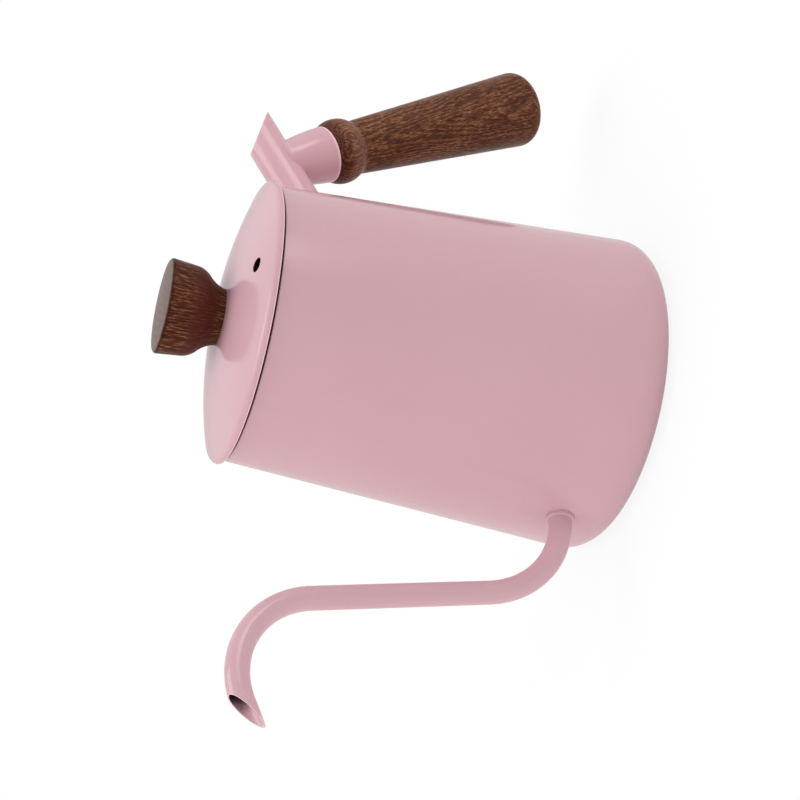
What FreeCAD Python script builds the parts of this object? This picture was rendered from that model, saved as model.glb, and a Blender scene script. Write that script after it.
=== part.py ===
# Gooseneck drip kettle: a tapered steel body with a slim curved spout, a lift-off lid with a
# turned wooden knob, and a turned wooden grip on a tubular arm.
# Frame: +Z up, origin at the centre of the base, +X towards the spout, grip on the -X side.
import FreeCAD
import Part
import Sketcher
import math
import os
from types import SimpleNamespace

# Driving dimensions, in millimetres and degrees
SIZES = {
    # body: a cone whose wall line runs from base_radius at the table to mouth_radius at the rim
    "body_top": 127.5,
    "mouth_radius": 45.15,
    "base_radius": 53.4,
    "body_wall": 0.8,
    "base_corner": 9.8,
    "foot_width": 7.0,
    "base_recess": 0.8,
    "base_ramp": 1.6,
    "lip_width": 3.0,
    "lip_corner": 0.8,
    # spout: root bend, straight rise, top bend and a slanting cut at the mouth; its crest lies a
    # little below the body's top, so the kettle can be filled to there
    "spout_diameter": 7.45,
    "spout_wall": 0.6,
    "spout_height": 21.0,
    "spout_stub": 1.05,
    "spout_tail": 1.2,
    "spout_low_bend": 31.9,
    "spout_lean": 12.6,
    "spout_high_bend": 27.0,
    "spout_crest_drop": 4.14,
    "spout_dip": 23.7,
    "spout_lip": 9.15,
    "spout_cut_fall": 54.2,
    "spout_hole_clearance": 0.1,
    "spout_collar_width": 0.88,
    "spout_collar_height": 1.2,
    "spout_collar_round": 0.5,
    # handle: arm and grip cross at right angles at the handle joint, which lies handle_offset out
    # from the wall and handle_drop below the body's top
    "handle_offset": 24.6,
    "handle_drop": 6.9,
    "handle_tilt": 31.5,
    "arm_diameter": 13.1,
    "arm_wall": 1.0,
    "arm_length": 15.0,
    "arm_end_fall": 13.0,
    "arm_cap_thickness": 1.0,
    "ferrule_length": 19.4,
    "ferrule_radius": 9.95,
    "ferrule_neck_radius": 7.85,
    "ferrule_bulge": 0.28,
    "ferrule_shoulder": 4.0,
    "ferrule_wall": 1.0,
    "grip_length": 89.0,
    "grip_radius": 13.7,
    "grip_end_round": 5.0,
    "grip_crown": 1.0,
    "bead_radius": 11.5,
    "bead_length": 10.9,
    "neck_radius": 9.45,
    "tenon_radius": 7.6,
    "tenon_length": 8.0,
    "stud_diameter": 6.0,
    "stud_length": 44.0,
    "stud_chamfer": 0.6,
    "stud_clearance": 0.1,
    "grip_insert_diameter": 9.5,
    "grip_insert_length": 24.0,
    "bore_end_gap": 1.0,
    "crown_flat": 2.0,
    # lid: shallow dome with a rolled rim, on an inner collar that drops into the mouth
    "collar_sheet": 0.5,
    "collar_depth": 10.0,
    "collar_flange": 2.2,
    "collar_clearance": 0.4,
    "lid_overhang": 1.45,
    "lid_sheet": 0.8,
    "lid_rise": 8.9,
    "lid_rim_round": 2.0,
    "lid_rim_slope": 18.3,
    "lid_rim_undercut": 0.7,
    "vent_diameter": 4.6,
    "vent_inset": 11.8,
    "vent_azimuth": 83.2,
    # knob and its fastening
    "knob_radius": 15.5,
    "knob_shoulder_radius": 14.7,
    "knob_waist_radius": 12.4,
    "knob_foot_radius": 9.2,
    "knob_seat_margin": 0.5,
    "knob_waist_hollow": 0.5,
    "knob_shoulder_bulge": 0.42,
    "knob_height": 19.1,
    "knob_shoulder_height": 10.0,
    "knob_waist_height": 5.6,
    "knob_edge_round": 1.1,
    "knob_crown": 0.8,
    "screw_diameter": 5.0,
    "screw_head_diameter": 9.5,
    "screw_head_height": 3.2,
    "screw_clearance": 0.1,
    "washer_diameter": 14.0,
    "washer_thickness": 1.0,
    "knob_insert_diameter": 8.0,
    "knob_insert_length": 12.0,
}

# Both coordinates of the middle of a quarter circle of radius 1
HALF = math.sqrt(0.5)
# How many diameters of a tube a cutting shape reaches past the place it cuts
CUT_REACH = 4

doc = FreeCAD.newDocument("GooseneckKettle")


def write_sheet():
    """Puts each driving dimension into a spreadsheet cell that has the dimension's name."""
    sheet = doc.addObject("Spreadsheet::Sheet", "Sizes")
    for row, (alias, value) in enumerate(SIZES.items(), start=1):
        sheet.set(f"A{row}", alias)
        sheet.set(f"B{row}", str(value))
        sheet.setAlias(f"B{row}", alias)
    doc.recompute()


class Size:
    """A number together with the spreadsheet expression that gives it."""

    def __init__(self, value, text):
        self.value = value
        self.text = text

    def __add__(self, other):
        other = as_size(other)
        return Size(self.value + other.value, f"({self.text} + {other.text})")

    def __sub__(self, other):
        other = as_size(other)
        return Size(self.value - other.value, f"({self.text} - {other.text})")

    def __mul__(self, other):
        other = as_size(other)
        return Size(self.value * other.value, f"({self.text} * {other.text})")

    def __truediv__(self, other):
        other = as_size(other)
        return Size(self.value / other.value, f"({self.text} / {other.text})")

    def __neg__(self):
        return Size(-self.value, f"(0 - {self.text})")


def as_size(thing):
    """A Size as it is, and a plain number as a Size."""
    if isinstance(thing, Size):
        return thing
    return Size(float(thing), repr(float(thing)))


def sine(angle):
    return Size(math.sin(math.radians(angle.value)), f"sin({angle.text})")


def cosine(angle):
    return Size(math.cos(math.radians(angle.value)), f"cos({angle.text})")


def tangent(angle):
    return Size(math.tan(math.radians(angle.value)), f"tan({angle.text})")


def root(thing):
    return Size(math.sqrt(thing.value), f"sqrt({thing.text})")


def bind(thing, **sizes):
    """Sets properties of a document object to Sizes, each by its expression."""
    for name, size in sizes.items():
        size = as_size(size)
        setattr(thing, name, size.value)
        thing.setExpression(name, size.text)


def place(thing, x=0, y=0, z=0, axis=(0, 1, 0), angle=0):
    """Places a document object at a point, turned about an axis, all by expressions."""
    where = [as_size(x), as_size(y), as_size(z)]
    angle = as_size(angle)
    turn = FreeCAD.Rotation(FreeCAD.Vector(*axis), angle.value)
    thing.Placement = FreeCAD.Placement(FreeCAD.Vector(*[w.value for w in where]), turn)
    for letter, size in zip("xyz", where):
        thing.setExpression(f"Placement.Base.{letter}", size.text)
    if angle.value:
        thing.setExpression("Placement.Rotation.Angle", angle.text)


write_sheet()
d = SimpleNamespace(**{alias: Size(value, f"Sizes.{alias}") for alias, value in SIZES.items()})


def new_body(label):
    body = doc.addObject("PartDesign::Body", label)
    body.Label = label
    return body


def new_sketch(body, name, plane="XZ_Plane"):
    """An empty sketch on one of the body's own origin planes."""
    sketch = body.newObject("Sketcher::SketchObject", name)
    support = [f for f in body.Origin.OriginFeatures if f.Role == plane][0]
    sketch.AttachmentSupport = [(support, "")]
    sketch.MapMode = "FlatFace"
    return sketch


def pin(sketch, geometry, end, x, y):
    """Holds a point of the sketch at the given distances from the sketch's origin."""
    for kind, size in (("DistanceX", as_size(x)), ("DistanceY", as_size(y))):
        number = sketch.addConstraint(Sketcher.Constraint(kind, -1, 1, geometry, end, size.value))
        sketch.setExpression(f"Constraints[{number}]", size.text)


def flat(point):
    return FreeCAD.Vector(as_size(point[0]).value, as_size(point[1]).value, 0)


def add_line(sketch, start, end):
    """Adds a line and returns its number and which of its ends are the start and the end."""
    number = sketch.addGeometry(Part.LineSegment(flat(start), flat(end)))
    return number, 1, 2


def add_arc(sketch, start, via, end):
    """Adds an arc through three points, held by a point on it, and returns as add_line does."""
    first, middle, last = flat(start), flat(via), flat(end)
    circle = Part.Arc(first, middle, last).toShape().Curve
    centre = circle.Center
    turn = (middle - first).cross(last - middle).z
    ends = (first, last) if turn > 0 else (last, first)
    angles = [math.atan2(p.y - centre.y, p.x - centre.x) for p in ends]
    flat_circle = Part.Circle(centre, FreeCAD.Vector(0, 0, 1), circle.Radius)
    number = sketch.addGeometry(Part.ArcOfCircle(flat_circle, angles[0], angles[1]))
    marker = sketch.addGeometry(Part.Point(middle), True)
    sketch.addConstraint(Sketcher.Constraint("PointOnObject", marker, 1, number))
    pin(sketch, marker, 1, *via)
    return (number, 1, 2) if turn > 0 else (number, 2, 1)


def draw(sketch, points, closed=True):
    """Draws an outline. A point is (x, y), or (x, y, via) where an arc through via leads to it."""
    count = len(points) if closed else len(points) - 1
    pieces = []
    for index in range(count):
        start = points[index]
        end = points[(index + 1) % len(points)]
        if len(end) == 3:
            pieces.append(add_arc(sketch, start, end[2], end))
        else:
            pieces.append(add_line(sketch, start, end))
    for index, (number, start_end, last_end) in enumerate(pieces):
        pin(sketch, number, start_end, *points[index][:2])
        if closed or index + 1 < count:
            following = pieces[(index + 1) % count]
            sketch.addConstraint(
                Sketcher.Constraint("Coincident", number, last_end, following[0], following[1])
            )
        else:
            pin(sketch, number, last_end, *points[index + 1][:2])


def bulged(start, end, bulge):
    """The middle of an arc that leaves the straight line from start to end by bulge, to its left."""
    run = end[0] - start[0]
    rise = end[1] - start[1]
    length = root(run * run + rise * rise)
    middle_x = (start[0] + end[0]) / 2
    middle_y = (start[1] + end[1]) / 2
    return (middle_x - rise / length * bulge, middle_y + run / length * bulge)


def quarter(centre_x, centre_y, radius, across, up):
    """The middle of a quarter circle; across and up are 1 or -1 and say which quarter."""
    return (centre_x + radius * (HALF * across), centre_y + radius * (HALF * up))


def crowned(edge, rise):
    """Outline of a round face that swells by rise, from its edge to a small flat at its middle."""
    level = edge[1] + rise
    flat_edge = (d.crown_flat, level)
    return [(*flat_edge, bulged(edge, flat_edge, -rise / 4)), (0, level)]


def draw_circle(sketch, x, y, radius):
    radius = as_size(radius)
    number = sketch.addGeometry(
        Part.Circle(flat((x, y)), FreeCAD.Vector(0, 0, 1), radius.value)
    )
    pin(sketch, number, 3, x, y)
    held = sketch.addConstraint(Sketcher.Constraint("Radius", number, radius.value))
    sketch.setExpression(f"Constraints[{held}]", radius.text)


def turned(label, points):
    """A body turned about its own Z axis from an outline of (radius, height) points."""
    body = new_body(label)
    sketch = new_sketch(body, f"{label}_outline")
    draw(sketch, points)
    lathe = body.newObject("PartDesign::Revolution", f"{label}_turned")
    lathe.Profile = sketch
    lathe.ReferenceAxis = (sketch, ["V_Axis"])
    lathe.Angle = 360
    return body


def drill(body, name, plane, x, y, radius, both_ways=False, reverse=False):
    """Cuts a round hole through the body, one way from an origin plane or both ways."""
    doc.recompute()
    before = body.Shape.Volume
    sketch = new_sketch(body, f"{name}_circle", plane)
    draw_circle(sketch, x, y, radius)
    hole = body.newObject("PartDesign::Pocket", name)
    hole.Profile = sketch
    hole.Type = "ThroughAll"
    hole.Midplane = both_ways
    hole.Reversed = reverse
    doc.recompute()
    if not body.Shape.Volume < before:
        raise RuntimeError(f"{name} cuts nothing")


def bevel_cut(body, name, points):
    """Cuts an outline in the body's XZ plane right through the body, both ways."""
    doc.recompute()
    before = body.Shape.Volume
    sketch = new_sketch(body, f"{name}_outline")
    draw(sketch, points)
    cut = body.newObject("PartDesign::Pocket", name)
    cut.Profile = sketch
    cut.Type = "ThroughAll"
    cut.Midplane = True
    doc.recompute()
    if not body.Shape.Volume < before:
        raise RuntimeError(f"{name} cuts nothing")


# Places that several pieces share

# Slope of the body wall: radius lost per millimetre of height
taper = (d.base_radius - d.mouth_radius) / d.body_top
wall_length = root(as_size(1) + taper * taper)
taper_cos = as_size(1) / wall_length
taper_sin = taper / wall_length


def wall_radius(height):
    """Outer radius of the body wall at a height."""
    return d.base_radius - taper * height


# The rounded edge of the base: centre of its arc, and where the arc runs into the wall
corner_z = d.base_corner
corner_r = d.base_radius - (d.base_corner + corner_z * taper_sin) / taper_cos
weld_z = corner_z + d.base_corner * taper_sin
weld_r = corner_r + d.base_corner * taper_cos

# The turned-in lip at the mouth, the lid's skirt inside it, and the plane under the lid's rim
lip_inner = d.mouth_radius - d.lip_width
skirt_r = lip_inner - d.collar_clearance
lid_under = d.body_top + d.collar_sheet
knob_seat = lid_under + d.lid_rise

# Handle joint: arm and grip axes cross here; handle pieces share this placement
handle_level = d.body_top - d.handle_drop
handle_reach = wall_radius(handle_level) + d.handle_offset
HANDLE = {"x": -handle_reach, "z": handle_level, "angle": d.handle_tilt}
# The stud starts inside the arm's bore, plug-welded to the lower wall
stud_top = d.arm_wall * 2 - d.arm_diameter / 2


def body_shell():
    """Conical wall with a flat lip turned in at the mouth and a hole for the spout."""
    corner = d.lip_corner
    inside = d.mouth_radius - d.body_wall
    top = d.body_top
    body = turned("body_shell", [
        (weld_r - d.body_wall, weld_z),
        (weld_r, weld_z),
        (wall_radius(top - corner), top - corner),
        (d.mouth_radius - corner, top, quarter(d.mouth_radius - corner, top - corner, corner, 1, 1)),
        (lip_inner, top),
        (lip_inner, top - d.body_wall),
        (inside, top - d.body_wall),
    ])
    hole_radius = d.spout_diameter / 2 + d.spout_hole_clearance
    drill(body, "spout_hole", "YZ_Plane", 0, d.spout_height, hole_radius, reverse=True)
    return body


def base_pan():
    """Pressed bottom with a rounded edge, butt-welded to the wall; it stands on a flat ring."""
    inner_corner = d.base_corner - d.body_wall
    foot_inner = corner_r - d.foot_width
    ramp_inner = foot_inner - d.base_ramp
    return turned("base_pan", [
        (0, d.base_recess),
        (ramp_inner, d.base_recess),
        (foot_inner, 0),
        (corner_r, 0),
        (weld_r, weld_z, quarter(corner_r, corner_z, d.base_corner, 1, -1)),
        (weld_r - d.body_wall, weld_z),
        (corner_r, d.body_wall, quarter(corner_r, corner_z, inner_corner, 1, -1)),
        (foot_inner, d.body_wall),
        (ramp_inner, d.base_recess + d.body_wall),
        (0, d.base_recess + d.body_wall),
    ])


def spout_path():
    """Points of the spout's centre line in the XZ plane, and the tip of its lower lip."""
    low, high = d.spout_low_bend, d.spout_high_bend
    lean_sin, lean_cos = sine(d.spout_lean), cosine(d.spout_lean)
    start_x = wall_radius(d.spout_height) - d.body_wall - d.spout_tail
    bend_x = wall_radius(d.spout_height) + d.spout_stub
    bend_z = d.spout_height
    half_lean = (as_size(90) - d.spout_lean) / 2
    bend_via = (bend_x + low * sine(half_lean), bend_z + low - low * cosine(half_lean))
    rise_x = bend_x + low * lean_cos
    rise_z = bend_z + low - low * lean_sin
    centre_z = d.body_top - d.spout_crest_drop - high
    crest_z = centre_z + high * lean_sin
    crest_x = rise_x + (crest_z - rise_z) * tangent(d.spout_lean)
    centre_x = crest_x + high * lean_cos
    dip_sin, dip_cos = sine(d.spout_dip), cosine(d.spout_dip)
    lip_x = centre_x + high * dip_sin
    lip_z = centre_z + high * dip_cos
    end_run = d.spout_lip + d.spout_diameter
    points = [
        (start_x, bend_z),
        (bend_x, bend_z),
        (rise_x, rise_z, bend_via),
        (crest_x, crest_z),
        (lip_x, lip_z, (centre_x, centre_z + high)),
        (lip_x + end_run * dip_cos, lip_z - end_run * dip_sin),
    ]
    under = d.spout_diameter / 2
    tip = (lip_x + d.spout_lip * dip_cos - under * dip_sin,
           lip_z - d.spout_lip * dip_sin - under * dip_cos)
    return points, tip


def spout_tube():
    """Slim tube, bent twice, with its mouth cut on a slant that leaves a long lower lip."""
    body = new_body("spout_tube")
    points, (tip_x, tip_z) = spout_path()
    spine = new_sketch(body, "spout_line")
    draw(spine, points, closed=False)
    outer = d.spout_diameter / 2
    for name, kind, radius in (
        ("spout_skin", "PartDesign::AdditivePipe", outer),
        ("spout_bore", "PartDesign::SubtractivePipe", outer - d.spout_wall),
    ):
        ring = new_sketch(body, f"{name}_ring", "YZ_Plane")
        ring.AttachmentOffset = FreeCAD.Placement(
            FreeCAD.Vector(0, 0, points[0][0].value), FreeCAD.Rotation()
        )
        ring.setExpression("AttachmentOffset.Base.z", points[0][0].text)
        draw_circle(ring, 0, points[0][1], radius)
        pipe = body.newObject(kind, name)
        pipe.Profile = ring
        pipe.Spine = spine
        doc.recompute()
    # The cut runs through the tip of the lower lip and past both ends of the mouth
    along_x, along_z = cosine(d.spout_cut_fall), -sine(d.spout_cut_fall)
    reach = d.spout_diameter * CUT_REACH
    low = (tip_x + along_x * reach, tip_z + along_z * reach)
    high = (tip_x - along_x * reach, tip_z - along_z * reach)
    bevel_cut(body, "spout_mouth", [
        high,
        low,
        (low[0] - along_z * reach, low[1] + along_x * reach),
        (high[0] - along_z * reach, high[1] + along_x * reach),
    ])
    return body


def primitive(kind, name, **sizes):
    thing = doc.addObject(kind, name)
    bind(thing, **sizes)
    return thing


def cut(label, base, tool):
    result = doc.addObject("Part::Cut", label)
    result.Label = label
    result.Base = base
    result.Tool = tool
    return result


def wall_plug(name):
    """The space inside the outer face of the body wall, as a solid cone to cut with."""
    return primitive("Part::Cone", name, Radius1=d.base_radius, Radius2=d.mouth_radius,
                     Height=d.body_top)


def spout_collar():
    """Weld collar round the spout's root, shaped to the wall behind it."""
    bore = d.spout_diameter / 2
    outer = bore + d.spout_collar_width
    round_ = d.spout_collar_round
    low = wall_radius(d.spout_height + outer) - d.body_wall
    top = wall_radius(d.spout_height) + d.spout_collar_height
    ring = turned("collar_ring", [
        (bore, low),
        (outer, low),
        (outer, top - round_),
        (outer - round_, top, quarter(outer - round_, top - round_, round_, 1, 1)),
        (bore, top),
    ])
    place(ring, z=d.spout_height, angle=90)
    return cut("spout_collar", ring, wall_plug("collar_wall"))


def handle_bar(name, diameter):
    """A rod along the arm's axis, from inside the body wall to past the slanted end."""
    back = handle_reach / cosine(d.handle_tilt)
    length = back + d.arm_length + d.arm_diameter * CUT_REACH
    rod = primitive("Part::Cylinder", name, Radius=diameter / 2, Height=length)
    # The rod starts on the kettle's axis and points outwards and upwards
    drop = handle_reach * tangent(d.handle_tilt)
    place(rod, z=handle_level - drop, angle=d.handle_tilt - 90)
    return rod


def end_slab(name, offset, thickness):
    """A slab along the arm's slanted end face, its lower side offset below that face."""
    side = d.arm_diameter * CUT_REACH * 2
    slab = primitive("Part::Box", name, Length=side, Width=side, Height=thickness)
    end_x = -handle_reach - d.arm_length * cosine(d.handle_tilt)
    end_z = handle_level + d.arm_length * sine(d.handle_tilt)
    fall_sin, fall_cos = sine(d.arm_end_fall), cosine(d.arm_end_fall)
    place(
        slab,
        x=end_x - side / 2 * fall_cos + offset * fall_sin,
        y=-side / 2,
        z=end_z - side / 2 * fall_sin - offset * fall_cos,
        angle=-d.arm_end_fall,
    )
    return slab


def handle_arm():
    """Round tube welded to the wall, cut on a slant at its upper end, drilled for the stud."""
    hollow = cut("arm_hollow", handle_bar("arm_rod", d.arm_diameter),
                 handle_bar("arm_bore", d.arm_diameter - d.arm_wall * 2))
    coped = cut("arm_coped", hollow, wall_plug("arm_wall_plug"))
    beyond = end_slab("arm_beyond", d.arm_cap_thickness, d.arm_diameter * CUT_REACH)
    mitred = cut("arm_mitred", coped, beyond)
    stud_hole = primitive("Part::Cylinder", "arm_stud_hole",
                          Radius=d.stud_diameter / 2 + d.stud_clearance, Height=d.arm_diameter)
    depth = d.arm_diameter
    place(stud_hole, x=-handle_reach - depth * sine(d.handle_tilt),
          z=handle_level - depth * cosine(d.handle_tilt), angle=d.handle_tilt)
    return cut("handle_arm", mitred, stud_hole)


def arm_end_cap():
    """Oval plate that closes the arm's slanted end, flush with the tube: the thumb rest."""
    cap = doc.addObject("Part::Common", "arm_end_cap")
    cap.Label = "arm_end_cap"
    cap.Base = handle_bar("cap_rod", d.arm_diameter)
    cap.Tool = end_slab("cap_slab", d.arm_cap_thickness, d.arm_cap_thickness)
    return cap


def handle_ferrule():
    """Bell-shaped socket with a round shoulder, notched to sit over the arm's underside."""
    shoulder = d.ferrule_shoulder
    wall = d.ferrule_wall
    inner = shoulder - wall
    flat_r = d.ferrule_neck_radius - shoulder
    neck = (d.ferrule_neck_radius, -shoulder)
    mouth = (d.ferrule_radius, -d.ferrule_length)
    inner_neck = (neck[0] - wall, neck[1])
    inner_mouth = (mouth[0] - wall, mouth[1])
    body = turned("handle_ferrule", [
        (0, 0),
        (flat_r, 0),
        (*neck, quarter(flat_r, -shoulder, shoulder, 1, 1)),
        (*mouth, bulged(neck, mouth, d.ferrule_bulge)),
        inner_mouth,
        (*inner_neck, bulged(inner_neck, inner_mouth, d.ferrule_bulge)),
        (flat_r, -wall, quarter(flat_r, -shoulder, inner, 1, 1)),
        (0, -wall),
    ])
    drill(body, "arm_notch", "YZ_Plane", 0, 0, d.arm_diameter / 2, both_ways=True)
    place(body, **HANDLE)
    return body


def handle_stud():
    """Threaded rod plug-welded into the arm; the grip is screwed onto it."""
    radius = d.stud_diameter / 2
    end = stud_top - d.stud_length
    body = turned("handle_stud", [
        (0, stud_top),
        (radius, stud_top),
        (radius, end + d.stud_chamfer),
        (radius - d.stud_chamfer, end),
        (0, end),
    ])
    place(body, **HANDLE)
    return body


def handle_grip():
    """Turned hardwood grip: tenon, bead, neck and a cone that widens to a rounded end."""
    seat = -d.ferrule_length
    tenon_top = seat + d.tenon_length
    bead_end = seat - d.bead_length
    end = seat - d.grip_length + d.grip_crown
    round_ = d.grip_end_round
    face_edge = (d.grip_radius - round_, end)
    bead_mid = seat - d.bead_length / 2
    insert_bore = d.grip_insert_diameter / 2
    stud_bore = d.stud_diameter / 2 + d.stud_clearance
    insert_end = tenon_top - d.grip_insert_length
    stud_end = stud_top - d.stud_length - d.bore_end_gap
    body = turned("handle_grip", [
        (insert_bore, tenon_top),
        (d.tenon_radius, tenon_top),
        (d.tenon_radius, seat),
        (d.ferrule_radius, seat),
        (d.neck_radius, bead_end, (d.bead_radius, bead_mid)),
        (d.grip_radius, end + round_),
        (*face_edge, quarter(face_edge[0], end + round_, round_, 1, -1)),
        *crowned(face_edge, -d.grip_crown),
        (0, stud_end),
        (stud_bore, stud_end),
        (stud_bore, insert_end),
        (insert_bore, insert_end),
    ])
    place(body, **HANDLE)
    return body


def tube_insert(label, bore_radius, radius, top, length):
    """A plain threaded bush, turned about Z, with its upper face at top."""
    return turned(label, [
        (bore_radius, top),
        (radius, top),
        (radius, top - length),
        (bore_radius, top - length),
    ])


def grip_insert():
    """Brass bush in the grip's bore that takes the stud."""
    body = tube_insert("grip_insert", d.stud_diameter / 2 + d.stud_clearance,
                       d.grip_insert_diameter / 2, d.tenon_length - d.ferrule_length,
                       d.grip_insert_length)
    place(body, **HANDLE)
    return body


# Lid dome: a shallow curve from the flat knob seat to the rolled rim
rim_sin, rim_cos = sine(d.lid_rim_slope), cosine(d.lid_rim_slope)
rim_z = lid_under + d.lid_rim_undercut
lid_radius = d.mouth_radius + d.lid_overhang
edge_r = lid_radius - d.lid_rim_round * (as_size(1) - rim_sin)
edge_z = rim_z + d.lid_rim_round * rim_cos
seat_r = d.knob_foot_radius + d.knob_seat_margin
dome_run = edge_r - seat_r
dome_bend = (tangent(d.lid_rim_slope) - (knob_seat - edge_z) / dome_run) / dome_run


def dome_height(radius):
    """Height of the dome's outer face: it falls as a parabola towards the rim."""
    gap = edge_r - radius
    return edge_z + tangent(d.lid_rim_slope) * gap - dome_bend * gap * gap


def lid_shell():
    """Pressed dome with a rolled rim, a vent hole and a hole for the knob's screw."""
    sheet = d.lid_sheet
    mid_r = (seat_r + edge_r) / 2
    inner_mid_r = (seat_r + skirt_r) / 2
    under_r = lid_radius - d.lid_rim_undercut
    # Halfway round the rim, from its widest point to the dome's slope
    half_slope = d.lid_rim_slope / 2 + 45
    body = turned("lid_shell", [
        (0, knob_seat),
        (0, knob_seat - sheet),
        (seat_r, knob_seat - sheet),
        (skirt_r, dome_height(skirt_r) - sheet, (inner_mid_r, dome_height(inner_mid_r) - sheet)),
        (skirt_r, lid_under),
        (under_r, lid_under),
        (lid_radius, rim_z, quarter(under_r, rim_z, d.lid_rim_undercut, 1, -1)),
        (edge_r, edge_z,
         (lid_radius - d.lid_rim_round * (as_size(1) - sine(half_slope)),
          rim_z + d.lid_rim_round * cosine(half_slope))),
        (seat_r, knob_seat, (mid_r, dome_height(mid_r))),
    ])
    vent_out = lid_radius - d.vent_inset
    vent_x = vent_out * cosine(d.vent_azimuth)
    vent_y = vent_out * sine(d.vent_azimuth)
    drill(body, "vent_hole", "XY_Plane", vent_x, vent_y, d.vent_diameter / 2, reverse=True)
    screw_hole = d.screw_diameter / 2 + d.screw_clearance
    drill(body, "screw_hole", "XY_Plane", 0, 0, screw_hole, reverse=True)
    return body


def lid_collar():
    """Ring under the lid: a flange that rests on the body's lip and a skirt inside the mouth."""
    inner = skirt_r - d.collar_sheet
    low = d.body_top - d.collar_depth
    return turned("lid_collar", [
        (inner, low),
        (skirt_r, low),
        (skirt_r, d.body_top),
        (skirt_r + d.collar_flange, d.body_top),
        (skirt_r + d.collar_flange, lid_under),
        (inner, lid_under),
    ])


def lid_knob():
    """Turned hardwood knob with a waist, a shoulder and a slightly crowned top."""
    foot = knob_seat
    top = foot + d.knob_height
    round_ = d.knob_edge_round
    bore = d.knob_insert_diameter / 2
    bore_top = foot + d.knob_insert_length
    foot_edge = (d.knob_foot_radius, foot)
    waist_edge = (d.knob_waist_radius, foot + d.knob_waist_height)
    shoulder_edge = (d.knob_shoulder_radius, foot + d.knob_shoulder_height)
    face_edge = (d.knob_radius - round_, top)
    return turned("lid_knob", [
        (bore, foot),
        foot_edge,
        (*waist_edge, bulged(foot_edge, waist_edge, d.knob_waist_hollow)),
        (*shoulder_edge, bulged(waist_edge, shoulder_edge, -d.knob_shoulder_bulge)),
        (d.knob_radius, top - round_),
        (*face_edge, quarter(d.knob_radius - round_, top - round_, round_, 1, 1)),
        *crowned(face_edge, d.knob_crown),
        (0, bore_top),
        (bore, bore_top),
    ])


def knob_insert():
    """Brass bush in the knob's foot that takes the screw."""
    return tube_insert("knob_insert", d.screw_diameter / 2 + d.screw_clearance,
                       d.knob_insert_diameter / 2, knob_seat + d.knob_insert_length,
                       d.knob_insert_length)


def knob_washer():
    """Plain washer between the screw's head and the lid."""
    return tube_insert("knob_washer", d.screw_diameter / 2 + d.screw_clearance,
                       d.washer_diameter / 2, knob_seat - d.lid_sheet, d.washer_thickness)


def knob_screw():
    """Pan-head screw that goes up through the lid into the knob's bush."""
    radius = d.screw_diameter / 2
    head = d.screw_head_diameter / 2
    head_top = knob_seat - d.lid_sheet - d.washer_thickness
    head_low = head_top - d.screw_head_height
    tip = knob_seat + d.knob_insert_length - d.bore_end_gap
    round_ = d.screw_head_height / 2
    return turned("knob_screw", [
        (0, head_low),
        (head - round_, head_low),
        (head, head_low + round_, quarter(head - round_, head_low + round_, round_, 1, -1)),
        (head, head_top),
        (radius, head_top),
        (radius, tip),
        (0, tip),
    ])


PIECES = [
    body_shell, base_pan, spout_tube, spout_collar,
    handle_arm, arm_end_cap, handle_ferrule, handle_stud, handle_grip, grip_insert,
    lid_shell, lid_collar, lid_knob, knob_insert, knob_washer, knob_screw,
]
pieces = [make() for make in PIECES]
doc.recompute()

# Nothing is written unless every object and every piece is sound
for thing in doc.Objects:
    if "Invalid" in thing.State or "Error" in thing.State:
        raise RuntimeError(f"{thing.Label} failed: {thing.State}")
for piece in pieces:
    if piece.Shape.isNull() or not piece.Shape.isValid():
        raise RuntimeError(f"{piece.Label} has no valid shape")

os.makedirs("parts", exist_ok=True)
for piece in pieces:
    piece.Shape.exportStep(f"parts/{piece.Label}.step")
    print(f"{piece.Label}: {len(piece.Shape.Solids)} solid, {piece.Shape.Volume:.1f} mm3")
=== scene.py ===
"""Looks of the gooseneck kettle: painted steel body, spout, lid and handle arm, turned wooden grip and knob.

Each piece is a surface worked out with numpy in millimetres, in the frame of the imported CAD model:
+Z up along the body's axis, +X towards the spout, the grip on the -X side. Materials count in metres.
"""

import bmesh
import bpy
import numpy as np
from mathutils import Matrix, Vector


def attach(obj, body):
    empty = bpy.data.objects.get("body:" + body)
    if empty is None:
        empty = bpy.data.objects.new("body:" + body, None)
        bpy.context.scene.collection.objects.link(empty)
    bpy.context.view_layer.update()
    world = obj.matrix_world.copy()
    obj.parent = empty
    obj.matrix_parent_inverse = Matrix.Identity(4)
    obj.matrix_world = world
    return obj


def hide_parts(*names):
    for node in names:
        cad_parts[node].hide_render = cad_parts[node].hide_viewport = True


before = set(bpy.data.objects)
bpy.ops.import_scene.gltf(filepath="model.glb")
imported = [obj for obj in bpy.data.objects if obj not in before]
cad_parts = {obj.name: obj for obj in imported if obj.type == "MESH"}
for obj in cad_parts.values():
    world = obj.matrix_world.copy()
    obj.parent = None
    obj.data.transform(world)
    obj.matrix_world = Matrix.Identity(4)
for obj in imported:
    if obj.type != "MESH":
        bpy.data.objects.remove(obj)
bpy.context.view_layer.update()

MM = 0.001
SAME_POINT = 1e-6
SEAM_GAP = 0.002
HALVINGS = 48
SHARP = 32
VERY_SHARP = 50

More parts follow.
